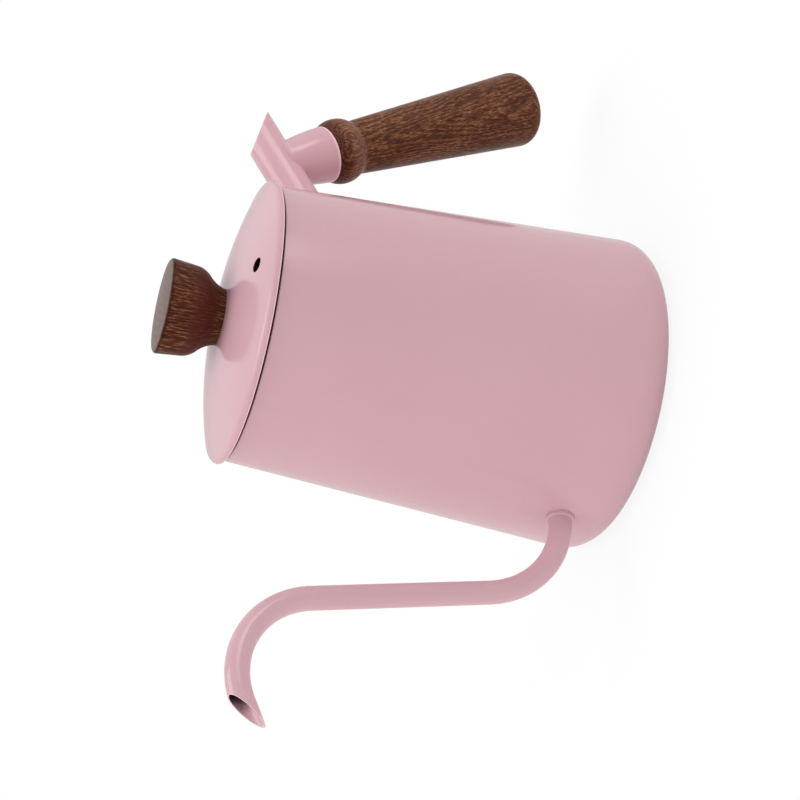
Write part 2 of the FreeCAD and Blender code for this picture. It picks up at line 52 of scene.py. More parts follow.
# Body: a conical wall with a lip turned in at the mouth, welded to a dished base
BODY_TOP = 127.5
MOUTH_RADIUS = 45.15
BASE_RADIUS = 53.4
BODY_WALL = 0.8
LIP_INNER = 42.15
LIP_ROUND = 0.4
LIP_EDGE = 0.3
LIP_BEND = 0.6
LIP_PAINT = 1.25
LIP_DEPTH = 3.0
BASE_CORNER = 9.8
BASE_RECESS = 0.8
BASE_RAMP = 1.6
BASE_BEND = 2.0
FOOT_WIDTH = 7.0
TAPER = (BASE_RADIUS - MOUTH_RADIUS) / BODY_TOP
TAPER_COS = 1 / np.hypot(1, TAPER)
TAPER_SIN = TAPER * TAPER_COS
CORNER_R = BASE_RADIUS - BASE_CORNER * (1 + TAPER_SIN) / TAPER_COS
WELD_Z = BASE_CORNER * (1 + TAPER_SIN)

# Spout: a slim tube of straight runs and two bends, with a slanted mouth
SPOUT_Z = 21.0
SPOUT_RADIUS = 3.725
SPOUT_BORE = 3.125
SPOUT_HOLE = 3.825
SPOUT_START = 50.041
SPOUT_STUB = 3.05
SPOUT_LOW_BEND = 31.9
SPOUT_HIGH_BEND = 27.0
SPOUT_RISE = 57.705
SPOUT_RISE_ANGLE = np.radians(77.4)
SPOUT_DIP_ANGLE = np.radians(-23.7)
SPOUT_LIP = 9.15
SPOUT_HEADINGS = 0.0, 0.0, SPOUT_RISE_ANGLE, SPOUT_RISE_ANGLE, SPOUT_DIP_ANGLE
SPOUT_CURVES = 0.0, 1 / SPOUT_LOW_BEND, 0.0, -1 / SPOUT_HIGH_BEND, 0.0
SPOUT_STRETCHES = (
    SPOUT_STUB, SPOUT_LOW_BEND * SPOUT_RISE_ANGLE, SPOUT_RISE,
    SPOUT_HIGH_BEND * (SPOUT_RISE_ANGLE - SPOUT_DIP_ANGLE), SPOUT_LIP,
)
SPOUT_REACH = sum(SPOUT_STRETCHES)
SPOUT_FLARE = 0.2
RIM_RISE = 0.14
MOUTH_FALL = np.radians(54.2)
MOUTH_NORMAL = np.array([np.sin(MOUTH_FALL), 0.0, np.cos(MOUTH_FALL)])
MOUTH_AXIS = np.array([np.cos(SPOUT_DIP_ANGLE), 0.0, np.sin(SPOUT_DIP_ANGLE)])
COLLAR_WIDTH = 0.88
COLLAR_HEIGHT = 1.2
COLLAR_ROUND = 0.5
COLLAR_SUNK = -0.25

# Handle: a tubular arm, a bell-shaped ferrule under it and a turned grip, all in one tilted frame
HANDLE_JOINT = np.array([-70.196, 0.0, 120.6])
HANDLE_TILT = np.radians(31.5)
HANDLE_AXES = np.array([
    [np.cos(HANDLE_TILT), 0.0, -np.sin(HANDLE_TILT)],
    [0.0, 1.0, 0.0],
    [np.sin(HANDLE_TILT), 0.0, np.cos(HANDLE_TILT)],
])
ARM_RADIUS = 6.55
ARM_BORE = 5.55
ARM_LENGTH = 15.0
ARM_MITRE = np.radians(44.5)
ARM_PLATE = 1.0
ARM_PLATE_EDGE = 0.28
ARM_WELD = 0.6
FERRULE_LENGTH = 19.4
FERRULE_RADIUS = 9.95
FERRULE_NECK = 7.85
FERRULE_SHOULDER = 4.0
FERRULE_WALL = 1.0
FERRULE_BULGE = 0.28
FERRULE_LIP = 0.45
FERRULE_INNER_LIP = 0.2
GRIP_LENGTH = 89.0
GRIP_RADIUS = 13.7
GRIP_NECK = 9.45
GRIP_COVE = 3.5
GRIP_END_ROUND = 5.0
GRIP_CROWN = 1.0
GRIP_CROWN_BULGE = 0.25
BEAD_LENGTH = 10.9
BEAD_BULGE = 1.8
TENON_RADIUS = 7.6
TENON_LENGTH = 8.0
TENON_EDGE = 0.4
GRIP_BUSH_BORE = 4.75
GRIP_BUSH_LENGTH = 24.0
STUD_BORE = 3.1
STUD_BORE_END = -49.55

# Lid: a shallow dome with a rolled rim and a vent, a collar under it and a turned knob on it
LID_UNDER = 128.0
KNOB_SEAT = 136.9
LID_RADIUS = 46.6
LID_SHEET = 0.8
LID_RIM_ROUND = 2.0
LID_RIM_UNDERCUT = 0.7
LID_RIM_Z = LID_UNDER + LID_RIM_UNDERCUT
LID_SLOPE = np.radians(18.3)
LID_EDGE_R = LID_RADIUS - LID_RIM_ROUND * (1 - np.sin(LID_SLOPE))
LID_EDGE_Z = LID_RIM_Z + LID_RIM_ROUND * np.cos(LID_SLOPE)
LID_SEAT_R = 9.7
LID_RUN = LID_EDGE_R - LID_SEAT_R
LID_BEND = (np.tan(LID_SLOPE) - (KNOB_SEAT - LID_EDGE_Z) / LID_RUN) / LID_RUN
SKIRT_R = 41.75
COLLAR_SHEET = 0.5
COLLAR_DEPTH = 10.0
COLLAR_FLANGE = 2.2
SCREW_HOLE = 2.6
WASHER_RADIUS = 7.0
WASHER_SHEET = 1.0
SMALL_EDGE = 0.15
VENT_RADIUS = 2.3
VENT_ROUND = 0.3
VENT_OUT = 34.8
VENT_AZIMUTH = np.radians(83.2)
KNOB_TOP = 156.0
KNOB_RADIUS = 15.5
KNOB_EDGE = 1.1
KNOB_CROWN = 0.8
KNOB_BORE = 4.0
KNOB_BORE_TOP = 148.9


# Outlines: arrays of (x, y) points in millimetres

def smooth_step(share):
    """Goes from 0 to 1 as 3 t squared minus 2 t cubed, and stays there outside that span."""
    share = np.clip(share, 0, 1)
    return share * share * (3 - 2 * share)


def run(start, end, count=12):
    """A straight run whose steps follow a cosine, so that short steps meet the bends at its ends."""
    start, end = np.array([start, end], float)
    share = (1 - np.cos(np.linspace(0, np.pi, count)))[:, None] / 2
    return start + share * (end - start)


def arc(centre, radius, start, end, count):
    """A circle arc: the centre plus the radius times the cosine and sine of angles in degrees."""
    turn = np.radians(np.linspace(start, end, count))
    return np.array(centre, float) + radius * np.c_[np.cos(turn), np.sin(turn)]


def bow(start, end, bulge, count=16):
    """A circle arc between two points that leaves their chord by bulge, to its left.

    Along the chord it goes as the sine of an angle swept evenly about the middle, across it as the cosine.
    """
    start, end = np.array([start, end], float)
    chord = end - start
    half = 2 * np.arctan2(2 * bulge, np.hypot(*chord))
    sweep = half * np.linspace(-1, 1, count)
    onward = (1 + np.sin(sweep) / np.sin(half)) / 2
    across = bulge * (np.cos(sweep) - np.cos(half)) / (1 - np.cos(half))
    left = np.array([-chord[1], chord[0]]) / np.hypot(*chord)
    return start + onward[:, None] * chord + across[:, None] * left


def joined(*parts):
    """Outlines put end to end, less repeated points."""
    line = np.vstack(parts)
    step = np.hypot(*np.diff(line, axis=0).T)
    return line[np.hstack([True, step > SAME_POINT])]


def eased(corners, steps=5):
    """An outline through corners (x, y, radius): each is rounded by the arc that touches both its runs.

    The arc starts at radius over the tangent of half the corner's angle from the corner. Ends stay.
    """
    corners = np.array(corners, float)
    spots, radii = corners[:, :2], corners[1:-1, 2]
    back = spots[:-2] - spots[1:-1]
    on = spots[2:] - spots[1:-1]
    back /= np.hypot(*back.T)[:, None]
    on /= np.hypot(*on.T)[:, None]
    half = np.arccos(np.clip((back * on).sum(1), -1, 1)) / 2
    reach = (radii / np.tan(half))[:, None]
    rise = radii * (1 - np.sin(half)) * np.sign(back[:, 0] * on[:, 1] - back[:, 1] * on[:, 0])
    first, last = spots[1:-1] + back * reach, spots[1:-1] + on * reach
    parts = [spots[:1]]
    for begin, end, bulge in zip(first, last, rise):
        parts.append(run(parts[-1][-1], begin))
        parts.append(bow(begin, end, bulge, steps) if bulge else [begin])
    return joined(*parts, run(parts[-1][-1], spots[-1]))


def along(outline, share):
    """Points of an outline at shares of its own length."""
    step = np.hypot(*np.diff(outline, axis=0).T)
    place = np.hstack([0, np.cumsum(step)]) / step.sum()
    return np.interp(share, place, outline[:, 0]), np.interp(share, place, outline[:, 1])


# Surfaces: grids of points, rows by columns by 3, in millimetres

def round_turn(count):
    """Even turns round a full circle, in radians."""
    return np.linspace(0, 2 * np.pi, count, endpoint=False)


def lathe(outline, columns, first_turn=0.0):
    """A turned surface: x and y are the radius times the cosine and sine of the turn, z is the height."""
    turn = first_turn + round_turn(columns)
    radius, height = outline[:, :1], outline[:, 1:]
    return np.dstack([radius * np.cos(turn), radius * np.sin(turn), height + 0 * turn])


def on_handle(local):
    """Points of the handle's own frame, arm along -X and grip down -Z, set in the kettle's frame."""
    return HANDLE_JOINT + local @ HANDLE_AXES


def leaving(inside, low, high):
    """Where each line leaves a shape, by halving the span from low, inside, to high, outside."""
    for _ in range(HALVINGS):
        middle = (low + high) / 2
        kept = inside(middle)
        low, high = np.where(kept, middle, low), np.where(kept, high, middle)
    return low


def sheet(grid, finish=0, wrap_rows=False, gaps=()):
    """A grid with its quads: each joins a point, the next round its row and the two in the next row.

    finish is the material's number, for the whole grid or for each row; gaps are blocks of quads left out,
    each as slices of rows and columns.
    """
    rows, columns = grid.shape[:2]
    last = rows if wrap_rows else rows - 1
    row, column = np.meshgrid(np.arange(last), np.arange(columns), indexing="ij")
    kept = np.ones(row.shape, bool)
    for gap in gaps:
        kept[gap] = False
    next_row, next_column = (row + 1) % rows, (column + 1) % columns
    quads = np.stack([
        row * columns + column, row * columns + next_column,
        next_row * columns + next_column, next_row * columns + column,
    ], axis=-1)
    finishes = np.broadcast_to(np.array(finish).reshape(-1, 1), (rows, columns))
    return grid.reshape(-1, 3), quads[kept], finishes[:last][kept]


def drilled(grid, first_row, steps, plane, centre, radius, count):
    """Room for a hole in a folded sheet: for its outer and inner face, a block to leave out and rings for it.

    In the drill's plane, each point of a block's edge moves towards the centre, by shares of its way to the
    circle.
    """
    rows, columns = grid.shape[:2]
    first, last = (columns - steps) // 2, (columns + steps) // 2
    share = np.linspace(0, 1, count)[:, None, None]
    gaps, faces = [], []
    for side, top in ((grid, first_row), (grid[::-1], rows - 1 - first_row - steps)):
        gaps.append((slice(top, top + steps), slice(first, last)))
        block = side[first_row:first_row + steps + 1, first:last + 1, plane]
        edge = np.vstack([block[0, :-1], block[:-1, -1], block[-1, :0:-1], block[:0:-1, 0]])
        away = edge - centre
        circle = centre + radius * away / np.hypot(*away.T)[:, None]
        faces.append(edge + share * (circle - edge))
    return gaps, faces


def new_object(name, data):
    """An object in the scene."""
    made = bpy.data.objects.new(name, data)
    bpy.context.scene.collection.objects.link(made)
    return made


def make_piece(name, sheets, body, nodes, finishes, crease=SHARP):
    """Makes one object of several sheets: seams merged, faces outward, edges over crease degrees sharp."""
    points, quads, numbers = zip(*sheets)
    first = np.cumsum([0] + [len(part) for part in points])
    quads = np.vstack([part + start for part, start in zip(quads, first)])
    mesh = bpy.data.meshes.new(name)
    mesh.from_pydata(np.vstack(points) * MM, [], quads)
    mesh.polygons.foreach_set("material_index", np.hstack(numbers).astype(np.int32))
    shape = bmesh.new()
    shape.from_mesh(mesh)
    bmesh.ops.remove_doubles(shape, verts=shape.verts, dist=SEAM_GAP * MM)
    bmesh.ops.recalc_face_normals(shape, faces=shape.faces)
    if any(not edge.is_manifold for edge in shape.edges):
        raise RuntimeError(f"{name} has an open or doubled edge")
    shape.to_mesh(mesh)
    shape.free()
    mesh.polygons.foreach_set("use_smooth", np.ones(len(mesh.polygons), bool))
    mesh.set_sharp_from_angle(angle=np.radians(crease))
    for finish in finishes:
        mesh.materials.append(finish)
    piece = new_object(name, mesh)
    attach(piece, body)
    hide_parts(*nodes)
    return piece


# Pieces of the body

def wall_radius(height):
    """Outer radius of the body wall: it falls evenly with height."""
    return BASE_RADIUS - TAPER * height


def wall_x(y, z, inset=0.0):
    """How far out the wall stands on the spout's side: the root of its radius squared less y squared."""
    return np.sqrt((wall_radius(z) - inset) ** 2 - y * y)


def body_wall(paint, steel):
    """Conical sheet with a turned-in lip: the wall's radius at each height, turned about the axis.

    It is painted outside and over the lip's outer edge, and bare from there in. Rings round the hole for the
    spout fill a block left out of the grid.
    """
    columns, hole_steps, rings, hole_room = 192, 8, 5, 7.0
    low, high = SPOUT_Z - hole_room, SPOUT_Z + hole_room
    below_hole = np.linspace(WELD_Z, low, 4)[:-1]
    beside_hole = np.linspace(low, high, hole_steps + 1)
    above_hole = run((high, 0), (BODY_TOP - LIP_DEPTH, 0), 22)[1:, 0]
    heights = np.hstack([below_hole, beside_hole, above_hole])
    outside = np.c_[wall_radius(heights), heights]
    inside = np.c_[wall_radius(heights) - BODY_WALL, heights][::-1]
    lip = eased([
        (*outside[-1], 0),
        (MOUTH_RADIUS, BODY_TOP, LIP_ROUND),
        (LIP_INNER, BODY_TOP, LIP_EDGE),
        (LIP_INNER, BODY_TOP - BODY_WALL, LIP_EDGE),
        (MOUTH_RADIUS - BODY_WALL, BODY_TOP - BODY_WALL, LIP_BEND),
        (*inside[0], 0),
    ], 8)
    outline = joined(outside, lip, inside)
    wall = lathe(outline, columns, -np.pi)
    past_paint = outline[:, 0] < MOUTH_RADIUS - LIP_PAINT
    bare = np.cumsum(past_paint & (outline[:, 1] > BODY_TOP - LIP_ROUND)) > 0
    gaps, (rings_out, rings_in) = drilled(
        wall, len(below_hole), hole_steps, slice(1, 3), (0.0, SPOUT_Z), SPOUT_HOLE, rings,
    )

    def on_wall(flat, inset=0.0):
        """Points of the drilling plane moved out to the wall."""
        return np.dstack([wall_x(flat[..., 0], flat[..., 1], inset), flat])

    patch = np.vstack([on_wall(rings_out), on_wall(rings_in[::-1], BODY_WALL)])
    sheets = [sheet(wall, bare, wrap_rows=True, gaps=gaps), sheet(patch, np.repeat([0, 1], rings))]
    make_piece("body_wall", sheets, "kettle", ["body_shell"], [paint, steel])


def base_dish(paint, steel):
    """Pressed bottom: a flat foot ring round a shallow recess, its edge a quarter circle up to the wall."""
    foot_inner = CORNER_R - FOOT_WIDTH
    ramp_inner = foot_inner - BASE_RAMP
    corner = (CORNER_R, BASE_CORNER)
    lean = np.degrees(np.arcsin(TAPER_SIN))
    under = eased([
        (0, BASE_RECESS, 0), (ramp_inner, BASE_RECESS, BASE_BEND),
        (foot_inner, 0, BASE_BEND), (CORNER_R, 0, 0),
    ], 8)
    over = eased([
        (CORNER_R, BODY_WALL, 0), (foot_inner, BODY_WALL, BASE_BEND),
        (ramp_inner, BASE_RECESS + BODY_WALL, BASE_BEND), (0, BASE_RECESS + BODY_WALL, 0),
    ], 8)
    outside = joined(under, arc(corner, BASE_CORNER, -90, lean, 48))
    inside = joined(arc(corner, BASE_CORNER - BODY_WALL, lean, -90, 32), over)
    finish = np.repeat([0, 1], [len(outside), len(inside)])
    dish = sheet(lathe(joined(outside, inside), 192), finish)
    make_piece("base_dish", [dish], "kettle", ["base_pan"], [paint, steel])


def spout_line(length):
    """Centre line of the spout in the XZ plane and its heading, at lengths along it; the last run goes on.

    Each of the five stretches adds its share: a straight one its length times the cosine and sine of its
    heading, a bend the differences of sine and cosine of its heading over its curvature.
    """
    x, z, heading, start = SPOUT_START, SPOUT_Z, 0.0, 0.0
    for turn, curve, stretch in zip(SPOUT_HEADINGS, SPOUT_CURVES, (*SPOUT_STRETCHES[:-1], np.inf)):
        part = np.clip(length - start, 0, stretch)
        if curve:
            x = x + (np.sin(turn + curve * part) - np.sin(turn)) / curve
            z = z + (np.cos(turn) - np.cos(turn + curve * part)) / curve
            heading = heading + curve * part
        else:
            x = x + part * np.cos(turn)
            z = z + part * np.sin(turn)
        start += stretch
    return x, z, heading


def spout_skin(length, turn, radius):
    """Points of a tube on the spout's line: radius times cosine of the turn upwards and sine sideways."""
    x, z, heading = spout_line(length)
    up, aside = radius * np.cos(turn), radius * np.sin(turn)
    return np.stack([x - up * np.sin(heading), aside + 0 * x, z + up * np.cos(heading)], axis=-1)


MOUTH_TIP = spout_skin(np.array(SPOUT_REACH), np.array(np.pi), SPOUT_RADIUS)


def spout_pipe(paint, rim_highlight, bore):
    """Bent tube cut by a slanted plane at its mouth, where a flattened half round joins skin and bore."""
    columns, even_rows, mouth_rows = 64, 120, 36
    before_tip, past_tip = 20.0, 12.0
    turn = round_turn(columns)
    mouth_start = SPOUT_REACH - before_tip

    def ends(radius):
        """Length at which each line of a tube meets the mouth's plane, set back for the rim."""
        def before_cut(length):
            return (spout_skin(length, turn, radius) - MOUTH_TIP) @ MOUTH_NORMAL < -RIM_RISE
        return leaving(before_cut, np.full(columns, mouth_start), np.full(columns, SPOUT_REACH + past_tip))

    def lines(radius, flare=0.0):
        """Rows of a tube: even to the mouth, then shares of the way to the cut, flared as their 4th power."""
        even = np.linspace(0, mouth_start, even_rows)[:, None] + 0 * turn
        share = np.linspace(0, 1, mouth_rows)[1:, None]
        near = mouth_start + share * (ends(radius + flare) - mouth_start)
        return np.vstack([
            spout_skin(even, turn, radius), spout_skin(near, turn, radius + flare * share ** 4),
        ])

    skin, hollow = lines(SPOUT_RADIUS), lines(SPOUT_BORE, SPOUT_FLARE)
    middle, half = (skin[-1] + hollow[-1]) / 2, (skin[-1] - hollow[-1]) / 2
    over = np.linspace(0, np.pi, 9)[1:-1, None, None]
    rim = middle + half * np.cos(over) + RIM_RISE * MOUTH_NORMAL * np.sin(over)
    # The rim rows carry the painted highlight
    finish = np.repeat([0, 1, 2], [len(skin) - 1, len(rim) + 1, len(hollow)])
    tube = sheet(np.vstack([skin, rim, hollow[::-1]]), finish, wrap_rows=True)
    finishes = [paint, rim_highlight, bore]
    return make_piece("spout_pipe", [tube], "kettle", ["spout_tube"], finishes, VERY_SHARP)


def spout_weld(paint):
    """Weld collar at the spout's root: rings about the tube that rise from the wall to a level top."""
    turn = round_turn(96)
    outer = SPOUT_RADIUS + COLLAR_WIDTH
    outline = eased([
        (SPOUT_RADIUS, COLLAR_SUNK, 0), (outer, COLLAR_SUNK, 0), (outer, COLLAR_HEIGHT, COLLAR_ROUND),
        (SPOUT_RADIUS, COLLAR_HEIGHT, 0),
    ], 9)
    reach, height = outline[:, :1], outline[:, 1:]
    y, z = reach * np.sin(turn), SPOUT_Z + reach * np.cos(turn)
    foot = wall_x(y, z)
    x = foot + height / COLLAR_HEIGHT * (wall_radius(SPOUT_Z) + COLLAR_HEIGHT - foot)
    weld = sheet(np.dstack([x, y, z]), wrap_rows=True)
    make_piece("spout_weld", [weld], "kettle", ["spout_collar"], [paint])


# Pieces of the handle

def arm_point(length, turn, radius):
    """A point of the arm in the handle's frame: so far out along -X, and round that axis from the top."""
    shape = np.broadcast(length, turn, radius).shape
    parts = -length, radius * np.sin(turn), radius * np.cos(turn)
    return np.stack([np.broadcast_to(part, shape) for part in parts], axis=-1)


def arm_root(turn, radius):
    """Length along the arm at which each line comes out of the body wall."""
    within_body, outside_body = -45.0, 0.0

    def in_body(length):
        x, y, z = np.moveaxis(on_handle(arm_point(length, turn, radius)), -1, 0)
        return np.hypot(x, y) < wall_radius(z)

    shape = np.broadcast(turn, radius).shape
    return leaving(in_body, np.full(shape, within_body), np.full(shape, outside_body))


def arm_cut(turn, radius, depth):
    """Length along the arm at which each line meets the slanted end, depth below its face."""
    return ARM_LENGTH - radius * np.cos(turn) / np.tan(ARM_MITRE) - depth / np.sin(ARM_MITRE)


def arm_tube(paint):
    """Tube from the wall to the slanted end; a weld flares its root as a quarter circle."""
    turn = round_turn(96)
    rise = ARM_WELD * (1 - np.cos(np.linspace(0, np.pi / 2, 7)))[:, None]
    flare = ARM_RADIUS + ARM_WELD - np.sqrt(ARM_WELD ** 2 - (ARM_WELD - rise) ** 2)
    weld_rows = arm_point(arm_root(turn, flare) + rise, turn, flare)
    share = run((0, 0), (1, 0), 30)[1:, :1]

    def lines(start, share, radius):
        """Rows of a tube: shares of the way from a start to the end's plate."""
        return arm_point(start + share * (arm_cut(turn, radius, ARM_PLATE) - start), turn, radius)

    skin = lines(arm_root(turn, ARM_RADIUS) + ARM_WELD, share, ARM_RADIUS)
    hollow = lines(arm_root(turn, ARM_BORE), share[::-1], ARM_BORE)
    tube = sheet(on_handle(np.vstack([weld_rows, skin, hollow])), wrap_rows=True)
    make_piece("arm_tube", [tube], "kettle", ["handle_arm"], [paint], VERY_SHARP)


def arm_plate(paint):
    """Oval plate on the arm's end: rings of the arm's lines cut at set depths, and rings that shrink."""
    turn = round_turn(96)
    outline = eased([
        (0, ARM_PLATE, 0), (ARM_RADIUS, ARM_PLATE, 0), (ARM_RADIUS, 0, ARM_PLATE_EDGE), (0, 0, 0),
    ], 7)
    radius, depth = outline[:, :1], outline[:, 1:]
    plate = on_handle(arm_point(arm_cut(turn, radius, depth), turn, radius))
    make_piece("arm_plate", [sheet(plate)], "kettle", ["arm_end_cap"], [paint], VERY_SHARP)


def ferrule_bell(paint, edge_highlight):
    """Bell turned about the grip's axis, each of its lines starting where it comes out of the arm."""
    turn = round_turn(160)
    near_mouth = 0.96
    shoulder = FERRULE_SHOULDER
    flat = FERRULE_NECK - shoulder

    def side(inset):
        """Outline of one face: a flat top, a round shoulder and a slight bow down to the mouth."""
        neck, mouth = (FERRULE_NECK - inset, -shoulder), (FERRULE_RADIUS - inset, -FERRULE_LENGTH)
        bend = arc((flat, -shoulder), shoulder - inset, 90, 0, 24)
        return joined([(0, -inset)], bend, bow(neck, mouth, FERRULE_BULGE, 60))

    def below_arm(outline, count):
        """Rows of one face: shares of the way from the arm's round underside to near the mouth."""
        def in_arm(place):
            radius, height = along(outline, place)
            return np.hypot(radius * np.sin(turn), height) < ARM_RADIUS
        start = leaving(in_arm, np.zeros(len(turn)), np.ones(len(turn)))
        share = run((0, 0), (1, 0), count)[:, :1]
        return along(outline, start + share * (near_mouth - start))

    rows_out = below_arm(side(0.0), 44)
    rows_in = [rows[::-1] for rows in below_arm(side(FERRULE_WALL), 20)]
    edge = eased([
        (rows_out[0][-1, 0], rows_out[1][-1, 0], 0), (FERRULE_RADIUS, -FERRULE_LENGTH, FERRULE_LIP),
        (FERRULE_RADIUS - FERRULE_WALL, -FERRULE_LENGTH, FERRULE_INNER_LIP),
        (rows_in[0][0, 0], rows_in[1][0, 0], 0),
    ], 7)[1:-1]
    radius = np.vstack([rows_out[0], edge[:, :1] + 0 * turn, rows_in[0]])
    height = np.vstack([rows_out[1], edge[:, 1:] + 0 * turn, rows_in[1]])
    # The mouth's edge rows carry the painted highlight
    finish = np.repeat([0, 1, 0], [len(rows_out[0]), len(edge), len(rows_in[0])])
    rings = on_handle(np.dstack([radius * np.cos(turn), radius * np.sin(turn), height]))
    bell = sheet(rings, finish, wrap_rows=True)
    make_piece("ferrule_bell", [bell], "kettle", ["handle_ferrule"], [paint, edge_highlight])


def wooden_grip(wood):
    """Turned and bored grip: tenon, bead, coved neck, a widening cone and a rounded, slightly crowned end."""
    cove_points = 6
    seat = -FERRULE_LENGTH
    end = seat - GRIP_LENGTH + GRIP_CROWN
    tenon_top = seat + TENON_LENGTH
    bush_end = tenon_top - GRIP_BUSH_LENGTH
    end_flat = GRIP_RADIUS - GRIP_END_ROUND
    bead = bow((FERRULE_RADIUS, seat), (GRIP_NECK, seat - BEAD_LENGTH), BEAD_BULGE, 40)
    outline = joined(
        eased([
            (0, STUD_BORE_END, 0), (STUD_BORE, STUD_BORE_END, 0), (STUD_BORE, bush_end, 0),
            (GRIP_BUSH_BORE, bush_end, 0), (GRIP_BUSH_BORE, tenon_top, 0),
            (TENON_RADIUS, tenon_top, TENON_EDGE), (TENON_RADIUS, seat, 0), (FERRULE_RADIUS, seat, 0),
        ]),
        bead[:-cove_points],
        eased([
            (*bead[-cove_points], 0), (*bead[-1], GRIP_COVE), (GRIP_RADIUS, end + GRIP_END_ROUND, 0),
        ], 14),
        arc((end_flat, end + GRIP_END_ROUND), GRIP_END_ROUND, 0, -86, 24),
        bow((end_flat, end), (0, end - GRIP_CROWN), GRIP_CROWN_BULGE, 12),
    )
    grip = sheet(on_handle(lathe(outline, 144)))
    make_piece("wooden_grip", [grip], "kettle", ["handle_grip"], [wood])


# Pieces of the lid

def dome_height(radius):
    """Outer face of the dome: it rises inwards by the rim's slope, less a part that grows as the square."""
    gap = LID_EDGE_R - np.maximum(radius, LID_SEAT_R)
    return LID_EDGE_Z + np.tan(LID_SLOPE) * gap - LID_BEND * gap * gap


def lid_dome(paint, steel, seam_shade, edge_highlight):
    """Pressed dome on a rolled rim: the dome's height at each radius, turned about the axis.

    Its top is painted, with a painted highlight along the roll's edge, and painted shade under the roll and
    in the vent's bore; the inside is bare. The vent's rounded edge fills a block left out of the grid.
    """
    columns, vent_steps, roll_steps, highlight_rows, vent_room = 192, 8, 16, 3, 4.0
    near = np.linspace(VENT_OUT - vent_room, VENT_OUT + vent_room, vent_steps + 1)
    seat = np.array([SCREW_HOLE, 4.0, 6.5, 9.0])
    inward = np.hstack([seat, run((LID_SEAT_R, 0), (near[0], 0), 18)[:-1, 0]])
    top_r = np.hstack([inward, near, np.linspace(near[-1], LID_EDGE_R, 12)[1:]])
    low_r = np.hstack([inward, near, np.linspace(near[-1], SKIRT_R, 6)[1:]])[::-1]
    top = np.c_[top_r, dome_height(top_r)]
    low = np.c_[low_r, dome_height(low_r) - LID_SHEET]
    rim_r, roll_r = LID_RADIUS - LID_RIM_ROUND, LID_RADIUS - LID_RIM_UNDERCUT
    rim = joined(
        arc((rim_r, LID_RIM_Z), LID_RIM_ROUND, 90 - np.degrees(LID_SLOPE), 0, roll_steps),
        arc((roll_r, LID_RIM_Z), LID_RIM_UNDERCUT, 0, -90, 10),
        run((roll_r, LID_UNDER), (SKIRT_R, LID_UNDER), 8),
    )
    outline = joined(top, rim, low)
    row = np.arange(len(outline))
    roll, past_skirt = len(top) + roll_steps - 1, len(top) + len(rim) - 2
    # Rows from the roll's edge carry a painted highlight, the roll's underside painted shade, and past the
    # skirt bare steel
    finish = np.select([row >= past_skirt, row >= roll + highlight_rows, row >= roll], [1, 2, 3], 0)
    dome = lathe(outline, columns, VENT_AZIMUTH - np.pi)
    centre = VENT_OUT * np.array([np.cos(VENT_AZIMUTH), np.sin(VENT_AZIMUTH)])
    rounded = VENT_RADIUS + VENT_ROUND
    gaps, (over, under) = drilled(dome, len(inward), vent_steps, slice(0, 2), centre, rounded, 6)
    bend = np.linspace(0, np.pi / 2, 7)[1:]
    away = (over[-1] - centre) / rounded
    bore = centre + away * (VENT_RADIUS + VENT_ROUND * (1 - np.sin(bend)))[:, None, None]
    drop = (VENT_ROUND * (1 - np.cos(bend)))[:, None]

    def lifted(flat, fall=0.0):
        """Points of the plan raised onto the dome, less a fall."""
        return np.dstack([flat, dome_height(np.hypot(flat[..., 0], flat[..., 1])) - fall])

    vent = np.vstack([
        lifted(over), lifted(bore, drop),
        lifted(bore[::-1], LID_SHEET - drop[::-1]), lifted(under[::-1], LID_SHEET),
    ])
    # The vent's bore carries painted shade
    vent_finish = np.repeat([0, 2, 1], [len(over) + 2, 2 * len(bore) - 2, len(under)])
    sheets = [sheet(dome, finish, wrap_rows=True, gaps=gaps), sheet(vent, vent_finish)]
    finishes = [paint, steel, seam_shade, edge_highlight]
    return make_piece("lid_dome", sheets, "lid", ["lid_shell"], finishes)


def mouth_ring(steel, seam_shade):
    """Ring turned from a bent strip: a flange on the body's lip, darkened as painted seam shade, and a skirt
    in the mouth.
    """
    inner_bend, outer_bend, shade_start = 0.1, 0.45, 0.3
    inner = SKIRT_R - COLLAR_SHEET
    low = BODY_TOP - COLLAR_DEPTH
    flange = SKIRT_R + COLLAR_FLANGE
    under = ((inner + SKIRT_R) / 2, low, 0)
    outline = eased([
        under, (SKIRT_R, low, SMALL_EDGE), (SKIRT_R, BODY_TOP, inner_bend), (flange, BODY_TOP, SMALL_EDGE),
        (flange, LID_UNDER, SMALL_EDGE), (inner, LID_UNDER, outer_bend), (inner, low, SMALL_EDGE), under,
    ])[:-1]
    # The flange's outer rows carry the painted seam shade
    on_flange = outline[:, 0] > SKIRT_R + shade_start
    ring = sheet(lathe(outline, 160), on_flange, wrap_rows=True)
    make_piece("mouth_ring", [ring], "lid", ["lid_collar"], [steel, seam_shade])


